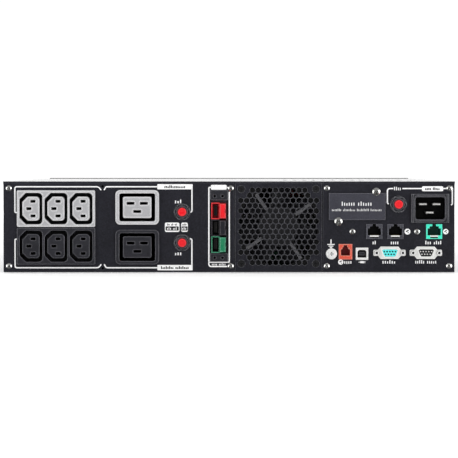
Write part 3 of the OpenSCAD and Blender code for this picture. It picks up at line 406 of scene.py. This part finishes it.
class Shape:
    """Collects solids in a local frame, in mm, and turns them into one piece."""

    def __init__(self, space=REAR):
        self.bm = bmesh.new()
        self.space = space

    def quad(self, *verts):
        self.bm.faces.new(verts)

    def prism(self, pts, z0, z1, top=None):
        """An outline carried from z0 to z1; top may hold a smaller outline for a chamfered end."""
        low = [self.bm.verts.new((x, y, z0)) for x, y in pts]
        high = [self.bm.verts.new((x, y, z1)) for x, y in (top or pts)]
        n = len(pts)
        self.bm.faces.new(low[::-1])
        self.bm.faces.new(high)
        for i in range(n):
            j = (i + 1) % n
            self.quad(low[i], low[j], high[j], high[i])

    def box(self, x0, x1, y0, y1, z0, z1):
        self.prism([(x0, y0), (x1, y0), (x1, y1), (x0, y1)], z0, z1)

    def pad(self, cx, cy, w, h, r, z0, z1, soft=0.0):
        """A round-cornered block, with its far edge chamfered by soft."""
        low = rounded(cx, cy, w, h, r)
        self.prism(low, z0, z1 - soft)
        if soft:
            high = rounded(cx, cy, w - 2 * soft, h - 2 * soft, max(r - soft, 0.05))
            self.prism(low, z1 - soft, z1, high)

    def disc(self, cx, cy, r, z0, z1, n=32):
        self.prism(circle(cx, cy, r, n), z0, z1)

    def lathe(self, cx, cy, profile, n):
        """A closed profile of (radius, z) turned about the outward axis."""
        rings = [[self.bm.verts.new((x, y, z)) for x, y in circle(cx, cy, r, n)] for r, z in profile]
        for i, ring in enumerate(rings):
            following = rings[(i + 1) % len(rings)]
            for a in range(n):
                b = (a + 1) % n
                self.quad(ring[a], ring[b], following[b], following[a])

    def stroke(self, pts, w, z0, z1):
        """A band of width w along an open path."""
        left, right = [], []
        for i, p in enumerate(pts):
            a = Vector(pts[max(i - 1, 0)])
            b = Vector(pts[min(i + 1, len(pts) - 1)])
            here = Vector(p)
            into = (here - a).normalized() if i > 0 else (b - here).normalized()
            out = (b - here).normalized() if i < len(pts) - 1 else into
            side = Vector((-(into.y + out.y), into.x + out.x)).normalized()
            k = w / 2 / max(0.35, side.dot(Vector((-into.y, into.x))))
            left.append(tuple(here + side * k))
            right.append(tuple(here - side * k))
        for i in range(len(pts) - 1):
            self.prism([right[i], right[i + 1], left[i + 1], left[i]], z0, z1)

    def bars(self, cx, cy, w, h, z0, z1, seed, words=1, fill=0.5):
        """Plain upright bars in word-sized groups, standing in for small print."""
        rng = random.Random(seed)
        gap = h * 0.55
        room = w - gap * (words - 1)
        shares = [rng.uniform(0.8, 1.3) for _ in range(words)]
        x = cx - w / 2
        for share in shares:
            length = room * share / sum(shares)
            cells = max(2, round(length / (h * 0.6)))
            step = length / cells
            for i in range(cells):
                left = x + i * step
                top = cy + h * rng.choice([0.5, 0.25, 0.25, 0.12])
                self.box(left, left + step * fill, cy - h / 2, top, z0, z1)
            x += length + gap

    def make(self, name, mat, body="chassis", bevel=0.0):
        """Turns the solids into a piece that rides on body and has the material mat."""
        self.bm.normal_update()
        bmesh.ops.recalc_face_normals(self.bm, faces=self.bm.faces)
        bmesh.ops.transform(self.bm, matrix=self.space, verts=self.bm.verts)
        mesh = bpy.data.meshes.new(name)
        self.bm.to_mesh(mesh)
        self.bm.free()
        obj = add(name, mesh)
        mesh.materials.append(mat)
        mesh.shade_smooth()
        mesh.set_sharp_from_angle(angle=SHARP)
        if bevel:
            mod = obj.modifiers.new("soft_edges", "BEVEL")
            mod.width = bevel * MM
            mod.segments = 2
            mod.limit_method = "ANGLE"
            mod.angle_limit = SHARP
            mod.harden_normals = True
        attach(obj, body)


# ---------------------------------------------------------------- CAD pieces

# Width of the rounding on each node's edges, in mm.
SOFT_EDGES = {
    "outlet_plate": 0.28, "comm_plate": 0.28, "fan_panel": 0.14, "expansion_cover": 0.3, "top_cover": 0.35,
    "outlet_bank_upper": 0.35, "outlet_bank_lower": 0.35, "large_outlet_upper": 0.35,
    "large_outlet_lower": 0.35, "power_inlet": 0.3, "breaker_bodies": 0.25, "breaker_nuts": 0.3,
    "battery_port_frame": 0.25, "battery_port_red": 0.3, "battery_port_black": 0.3,
    "battery_port_green": 0.3, "rear_screws": 0.14, "expansion_screws": 0.16, "case_screws": 0.1,
    "fan_screws": 0.1, "link_jack_in": 0.22, "link_jack_out": 0.22, "sensor_jack": 0.22, "off_jack": 0.22,
    "usb_shell": 0.2, "usb_tongue": 0.15, "dsub_shells": 0.18, "serial_insert": 0.1, "jackscrews": 0.16,
    "ground_terminal": 0.16, "inlet_pins": 0.25, "fan_frame": 0.4, "fan_rotor": 0.25,
    "rack_ear_left": 0.35, "rack_ear_right": 0.35, "front_bezel": 0.5, "display_disc": 0.6,
    "battery_blocks": 1.0, "battery_tray": 0.25, "battery_lead": 0.8, "power_board": 0.2, "capacitors": 0.5,
    "transformer_core": 0.6, "transformer_coil": 2.0, "heatsinks": 0.3, "button_power": 0.3,
    "button_menu": 0.3, "reset_button_upper": 0.3, "reset_button_lower": 0.3, "reset_button_input": 0.3,
}
WELD_M = 0.000002
FLAT_ANGLE = math.radians(0.6)
SOFT_ANGLE = math.radians(32)


def dress_cad():
    """Gives every CAD node its material, and soft edges where they can be seen."""
    slots = {p["node"]: p["material_slot"] for p in frame["record"]["subparts"]}
    for name, obj in NODES.items():
        obj.data.materials.clear()
        obj.data.materials.append(NODE_MATS.get(name) or MATS[slots[name]])
        if name not in SOFT_EDGES:
            continue
        weld = obj.modifiers.new("weld", "WELD")
        weld.merge_threshold = WELD_M
        flat = obj.modifiers.new("flatten", "DECIMATE")
        flat.decimate_type = "DISSOLVE"
        flat.angle_limit = FLAT_ANGLE
        soft = obj.modifiers.new("soft_edges", "BEVEL")
        soft.width = SOFT_EDGES[name] * MM
        soft.segments = 2
        soft.limit_method = "ANGLE"
        soft.angle_limit = SOFT_ANGLE
        soft.use_clamp_overlap = True
        even = obj.modifiers.new("even_normals", "WEIGHTED_NORMAL")
        even.weight = 80
        even.keep_sharp = False


dress_cad()


# ---------------------------------------------------------------- rear panel print

LINE_W = 1.25
# Each layer runs from one height above the panel to another, in mm; later layers lie on earlier ones.
INK = (0.0, 0.07)
BAND = (0.0, 0.085)
OVERPRINT = (0.0, 0.11)
BAND_MARKS = (0.0, 0.125)
COVER_INK = (1.18, 1.27)
TAG_FILL = 0.7
COVER_FILL = 0.42

# Lines of the print: the path, and the radius its corners are rounded to.
LINES = (
    # outlet groups
    ([(13.4, 57.2), (11.3, 57.2), (11.3, 81.9), (91.4, 81.9), (94.0, 78.6)], 2.0),
    ([(96.8, 78.6), (98.6, 81.9), (148.2, 81.9)], 1.2),
    ([(181.0, 80.0), (181.0, 58.2), (178.6, 56.9)], 1.0),
    ([(13.4, 31.7), (11.3, 31.7), (11.3, 4.2), (91.4, 4.2), (94.0, 7.5)], 2.0),
    ([(96.8, 7.5), (98.6, 4.2), (148.2, 4.2)], 1.2),
    ([(180.9, 6.4), (180.9, 31.6), (178.9, 32.2)], 1.0),
    # battery port
    ([(199.6, 81.3), (197.2, 81.3), (197.2, 5.4), (215.0, 5.4)], 2.4),
    ([(197.2, 9.6), (216.8, 9.6), (216.8, 77.0)], 0.3),
    ([(214.0, 81.3), (215.3, 81.3)], 0.0),
    # mains inlet
    ([(369.6, 65.4), (368.3, 66.2), (368.3, 80.2), (373.9, 80.2)], 2.6),
    ([(382.6, 80.2), (401.6, 80.2)], 0.0),
    ([(421.6, 80.2), (424.4, 80.2)], 0.0),
    ([(429.4, 82.6), (430.5, 80.6), (430.5, 65.2), (429.3, 64.3)], 1.0),
)
# Tags with bars on them: left, right, bottom, top, corner radius, seed, words and the bars' share of the
# width.
TAGS = (
    (147.8, 181.7, 79.4, 84.4, 0.5, 3, 1, 0.6),
    (147.8, 181.6, 1.7, 6.9, 0.5, 5, 2, 0.8),
    (401.2, 421.9, 77.6, 82.4, 1.6, 17, 2, 0.68),
)
# Captions: centre, size, seed and words.
CAPTIONS = (
    (168.3, 67.8, 7.2, 3.6, 7, 1),
    (168.3, 18.0, 7.2, 3.6, 8, 1),
    (206.9, 7.5, 13.5, 2.3, 13, 2),
    (378.3, 80.2, 7.2, 3.4, 15, 1),
    (356.2, 28.4, 4.0, 3.4, 23, 1),
    (375.8, 28.4, 8.2, 3.4, 24, 1),
    (412.9, 28.4, 16.2, 3.4, 25, 2),
    (370.3, 9.9, 13.2, 3.5, 26, 1),
    (405.7, 9.9, 21.0, 3.4, 27, 2),
    (331.0, 9.7, 7.8, 3.4, 28, 1),
)
COVER_CAPTIONS = (
    (339.4, 65.7, 29.8, 4.0, 19, 2),
    (339.2, 59.7, 48.0, 2.3, 21, 4),
)
# The two rating labels between the breakers: centre, width, words in each row, and the seeds of the rows.
LABEL_Y, LABEL_H = 43.1, 9.0
LABELS = (
    (162.0, 14.0, 3, 2, 9, 29),
    (173.85, 6.3, 1, 1, 10, 30),
)
# Barred ring symbols beside the ports: centre and diameter.
RINGS = ((387.6, 38.9, 5.7), (424.3, 38.9, 5.3), (323.7, 9.7, 5.1))


def print_panel():
    ink = Shape()
    dark = Shape()
    for pts, radius in LINES:
        ink.stroke(soften(pts, radius), LINE_W, *INK)
    for x0, x1, y0, y1, radius, seed, words, share in TAGS:
        cx, cy, w, h = (x0 + x1) / 2, (y0 + y1) / 2, x1 - x0, y1 - y0
        ink.prism(rounded(cx, cy, w, h, radius), *INK)
        dark.bars(cx, cy, w * share, h * 0.52, *OVERPRINT, seed, words, TAG_FILL)
    ink.prism(rounded(206.7, 81.4, 15.3, 4.7, 1.2), *INK)
    for cx, cy, w, h, seed, words in CAPTIONS:
        ink.bars(cx, cy, w, h, *INK, seed, words)
    for cx, cy, w, h, seed, words in COVER_CAPTIONS:
        ink.bars(cx, cy, w, h, *COVER_INK, seed, words, COVER_FILL)
    for cx, w, upper_words, lower_words, upper_seed, lower_seed in LABELS:
        ink.prism(rounded(cx, LABEL_Y, w, LABEL_H, 1.5), *INK)
        dark.bars(cx, LABEL_Y + 2.6, w * 0.66, 1.9, *OVERPRINT, upper_seed, upper_words, TAG_FILL)
        dark.prism(rounded(cx, LABEL_Y - 1.2, w * 0.9, 4.0, 0.6), *BAND)
        ink.bars(cx, LABEL_Y - 1.2, w * 0.7, 2.4, *BAND_MARKS, lower_seed, lower_words)
    for cx, cy, d in RINGS:
        ink.disc(cx, cy, d / 2, *INK, 28)
        dark.stroke([(cx - d * 0.24, cy - d * 0.02), (cx + d * 0.2, cy + d * 0.24)], d * 0.2, *OVERPRINT)
        dark.box(cx + d * 0.02, cx + d * 0.2, cy - d * 0.3, cy - d * 0.12, *OVERPRINT)
    # earth mark
    earth_x = 314.3
    ink.stroke([(earth_x, 31.4), (earth_x, 26.6)], 1.1, *INK)
    for y, w in ((26.6, 7.0), (25.0, 4.6), (23.6, 2.2)):
        ink.stroke([(earth_x - w / 2, y), (earth_x + w / 2, y)], 0.9, *INK)
    # plug mark
    plug_y = 9.6
    ink.box(342.4, 345.8, plug_y - 1, plug_y + 1, *INK)
    for dy in (-0.55, 0.55):
        ink.stroke([(345.6, plug_y + dy), (347.4, plug_y + dy)], 0.55, *INK)
    ink.stroke([(340.8, plug_y), (342.6, plug_y)], 0.7, *INK)
    ink.make("panel_print", INK_WHITE)
    dark.make("panel_print_dark", INK_DARK)


print_panel()


def jack_tongues():
    """The bright lip of the shield at the lower edge of three jacks: centre and width of each."""
    lips = Shape()
    for cx, w in ((355.7, 8.4), (375.95, 8.4), (413.1, 7.6)):
        lips.pad(cx, 34.6, w, 1.35, 0.3, 0.5, 1.08, 0.12)
    lips.make("jack_shield_tongues", MATS["plated_metal"])


jack_tongues()


# ---------------------------------------------------------------- front

def bezel_seal():
    """A soft strip between the bezel and the cover, which shows as a dark line along the far edge."""
    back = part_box("front_bezel")[1].y / MM
    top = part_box("top_cover")[1].z / MM
    seal = Shape(TOP)
    seal.box(-PANEL_W / 2 + 3, PANEL_W / 2 - 3, back - 1.4, back - 0.2, top - 1.0, top + 0.7)
    seal.make("bezel_seal", FOAM, body="bezel", bevel=0.3)


bezel_seal()


def bezel_foam():
    """The dust filter behind the bezel's slots, with a dimpled face."""
    x0, x1, z0, z1 = -206.0, 106.0, 9.0, 78.0
    face, back, dimple = -3.0, -7.0, 0.35
    cols, rows = 104, 23
    rng = random.Random(41)
    foam = Shape(FRONT)
    new = foam.bm.verts.new
    grid = []
    for j in range(rows + 1):
        z = z0 + (z1 - z0) * j / rows
        grid.append([new((x0 + (x1 - x0) * i / cols, z, face + rng.uniform(-dimple, dimple)))
                     for i in range(cols + 1)])
    rear = [new((x, z, back)) for x, z in ((x0, z0), (x1, z0), (x1, z1), (x0, z1))]
    for j in range(rows):
        for i in range(cols):
            foam.quad(grid[j][i], grid[j][i + 1], grid[j + 1][i + 1], grid[j + 1][i])
    for side in (rear[::-1],
                 [rear[0], rear[1]] + grid[0][::-1],
                 [rear[1], rear[2]] + [row[-1] for row in grid[::-1]],
                 [rear[2], rear[3]] + grid[-1],
                 [rear[3], rear[0]] + [row[0] for row in grid]):
        foam.bm.faces.new(side)
    foam.make("bezel_filter_foam", FOAM, body="bezel")


bezel_foam()


def front_face(node):
    """A front node's centre across and up, and how far its face stands out of the bezel, in mm."""
    mid = centre(node)
    return mid.x / MM, mid.z / MM, (FRONT_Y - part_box(node)[0].y) / MM


def display_marks():
    """A row of level bars, a battery outline with its cells, and a status row above them."""
    cx, cy, face = front_face("display_window")
    lit = (face - OVERLAP, face + 0.06)
    marks = Shape(FRONT)
    for i in range(5):
        marks.pad(cx - 15 + i * 3.4, cy - 3.2 + i * 0.8, 2.2, 5.6 + i * 1.6, 0.4, *lit)
    left, right, bottom, top, rule = cx + 5.5, cx + 16.5, cy - 6.0, cy + 0.6, 0.7
    marks.box(left, right, bottom, bottom + rule, *lit)
    marks.box(left, right, top - rule, top, *lit)
    marks.box(left, left + rule, bottom + rule - 0.01, top - rule + 0.01, *lit)
    marks.box(right - rule, right, bottom + rule - 0.01, top - rule + 0.01, *lit)
    marks.box(right - 0.01, right + 1.1, bottom + 2.1, top - 2.1, *lit)
    for i in range(4):
        marks.pad(left + 2.1 + i * 2.25, (bottom + top) / 2, 1.5, 3.6, 0.3, *lit)
    marks.box(cx - 17, cx + 17.5, cy + 8.6, cy + 9.1, *lit)
    for i in range(7):
        marks.pad(cx - 15.6 + i * 3.1, cy + 11.1, 2.2, 1.5, 0.3, *lit)
    marks.disc(cx + 15.6, cy + 11.1, 0.9, *lit)
    marks.make("display_marks", GLOW_TEAL, body="display")


def status_light():
    """A small domed light between the two keys."""
    cx = front_face("display_window")[0]
    cy = front_face("button_power")[1]
    face = front_face("display_disc")[2]
    lamp = Shape(FRONT)
    lamp.lathe(cx, cy, [(0.02, face - 0.3), (1.1, face - 0.3), (1.1, face + 0.1), (0.7, face + 0.35),
                        (0.02, face + 0.45)], 24)
    lamp.make("status_light", GLOW_GREEN, body="display")


def key_marks():
    """An on-off sign on one key and three lines on the other."""
    cx, cy, face = front_face("button_power")
    ink = (face - OVERLAP, face + 0.05)
    ring, steps = 1.35, 14
    angles = [math.radians(40 + 280 * i / steps) for i in range(steps + 1)]
    sign = Shape(FRONT)
    sign.stroke([(cx + ring * math.sin(a), cy + ring * math.cos(a)) for a in angles], 0.4, *ink)
    sign.box(cx - 0.2, cx + 0.2, cy + 0.3, cy + 1.8, *ink)
    sign.make("power_key_mark", INK_WHITE, body="power_key")
    cx, cy = front_face("button_menu")[:2]
    rows = Shape(FRONT)
    for dy in (-0.95, 0.0, 0.95):
        rows.pad(cx, cy + dy, 2.8, 0.4, 0.15, *ink)
    rows.make("menu_key_mark", INK_WHITE, body="menu_key")


display_marks()
status_light()
key_marks()


# ---------------------------------------------------------------- stage, light and camera

FLOOR_HALF, FLOOR_Z = 9, -0.0004


def lay_floor():
    """A pale floor that brightens with distance, so that it runs into the white background."""
    mesh = bpy.data.meshes.new("floor")
    corners = [(sx * FLOOR_HALF, sy * FLOOR_HALF, FLOOR_Z) for sx, sy in ((-1, -1), (1, -1), (1, 1), (-1, 1))]
    mesh.from_pydata(corners, [], [(0, 1, 2, 3)])
    floor = add("floor", mesh)
    pale = Shader("pale_floor")
    patchy = pale.mix(pale.noise(3.0), (0.86, 0.86, 0.86), (0.89, 0.89, 0.89))
    pale.put(pale.bsdf.inputs["Base Color"], patchy)
    pale.put(pale.bsdf.inputs["Roughness"], 0.7)
    pale.put(pale.bsdf.inputs["Emission Color"], (1, 1, 1, 1))
    distance = pale.node("ShaderNodeVectorMath", operation="LENGTH")
    pale.link(pale.coord, distance.inputs[0])
    bright = pale.ramp(distance.outputs["Value"], 0.5, 2.2, 0.25, 1.0)
    pale.put(pale.bsdf.inputs["Emission Strength"], bright)
    mesh.materials.append(pale.mat)
    floor.visible_glossy = False


def light_studio():
    """A white background for the camera, even light on matt surfaces, and panels for shiny ones to mirror."""
    world = bpy.data.worlds.new("studio")
    bpy.context.scene.world = world
    world.use_nodes = True
    sky = NodeTree(world.node_tree)
    sky.tree.nodes.clear()
    way = sky.node("ShaderNodeSeparateXYZ")
    sky.link(sky.node("ShaderNodeTexCoord").outputs["Generated"], way.inputs[0])
    rays = sky.node("ShaderNodeLightPath")

    def fade(value, *span):
        return sky.ramp(value, *span, easing="SMOOTHSTEP")

    # two upright side panels, a pale backdrop behind the camera and a little from above
    level = fade(sky.math("ABSOLUTE", way.outputs["Z"]), 0.35, 0.6, 1.0, 0.0)
    mirrored = sky.math("MULTIPLY", fade(way.outputs["X"], -0.72, -0.92, 0.0, 3.2), level)
    far_side = sky.math("MULTIPLY", fade(way.outputs["X"], 0.72, 0.92, 0.0, 1.9), level)
    mirrored = sky.math("ADD", mirrored, far_side)
    mirrored = sky.math("ADD", mirrored, fade(way.outputs["Y"], -0.35, -0.8, 0.0, 1.42))
    mirrored = sky.math("ADD", mirrored, fade(way.outputs["Z"], 0.2, 0.9, 0.1, 0.3))
    even = fade(way.outputs["Z"], -0.4, 0.9, 0.42, 0.62)
    glossy = rays.outputs["Is Glossy Ray"]
    light = sky.math("ADD", sky.math("MULTIPLY", mirrored, glossy),
                     sky.math("MULTIPLY", even, sky.math("SUBTRACT", 1.0, glossy)))
    either = sky.node("ShaderNodeMixShader")
    sky.link(rays.outputs["Is Camera Ray"], either.inputs[0])
    for socket, strength in ((either.inputs[1], light), (either.inputs[2], 1.05)):
        background = sky.node("ShaderNodeBackground")
        background.inputs["Color"].default_value = (1, 1, 1, 1)
        sky.put(background.inputs["Strength"], strength)
        sky.link(background.outputs[0], socket)
    sky.link(either.outputs[0], sky.node("ShaderNodeOutputWorld").inputs["Surface"])


def aim(obj, at, look):
    obj.location = at
    obj.rotation_euler = (Vector(look) - Vector(at)).to_track_quat("-Z", "Y").to_euler()


def softbox(name, at, look, size, power):
    data = bpy.data.lights.new(name, "AREA")
    data.shape = "RECTANGLE"
    data.size, data.size_y = size
    data.energy = power
    lamp = add(name, data)
    aim(lamp, at, look)
    lamp.visible_glossy = name.startswith("key")


def set_camera():
    """A long lens straight behind the panel, slightly above it."""
    data = bpy.data.cameras.new("camera")
    data.sensor_width = 36
    data.lens = 150.1
    data.clip_end = 60
    camera = add("camera", data)
    aim(camera, (0.0, REAR_Y + 1.83, 0.101), (0.0, REAR_Y, 0.0414))
    bpy.context.scene.camera = camera
    bpy.context.scene.view_settings.view_transform = "Standard"


lay_floor()
light_studio()
softbox("key_left", (1.5, 1.5, 0.75), (0, 0.1, 0.05), (0.4, 1.2), 2.6)
softbox("key_right", (-1.5, 1.5, 0.75), (0, 0.1, 0.05), (0.4, 1.2), 4.4)
softbox("overhead", (0, 0.3, 1.9), (0, 0.1, 0), (2.2, 1.4), 16)
softbox("front_fill", (0.9, -2.2, 1.2), (0, -0.2, 0.05), (1.4, 0.9), 9)
set_camera()
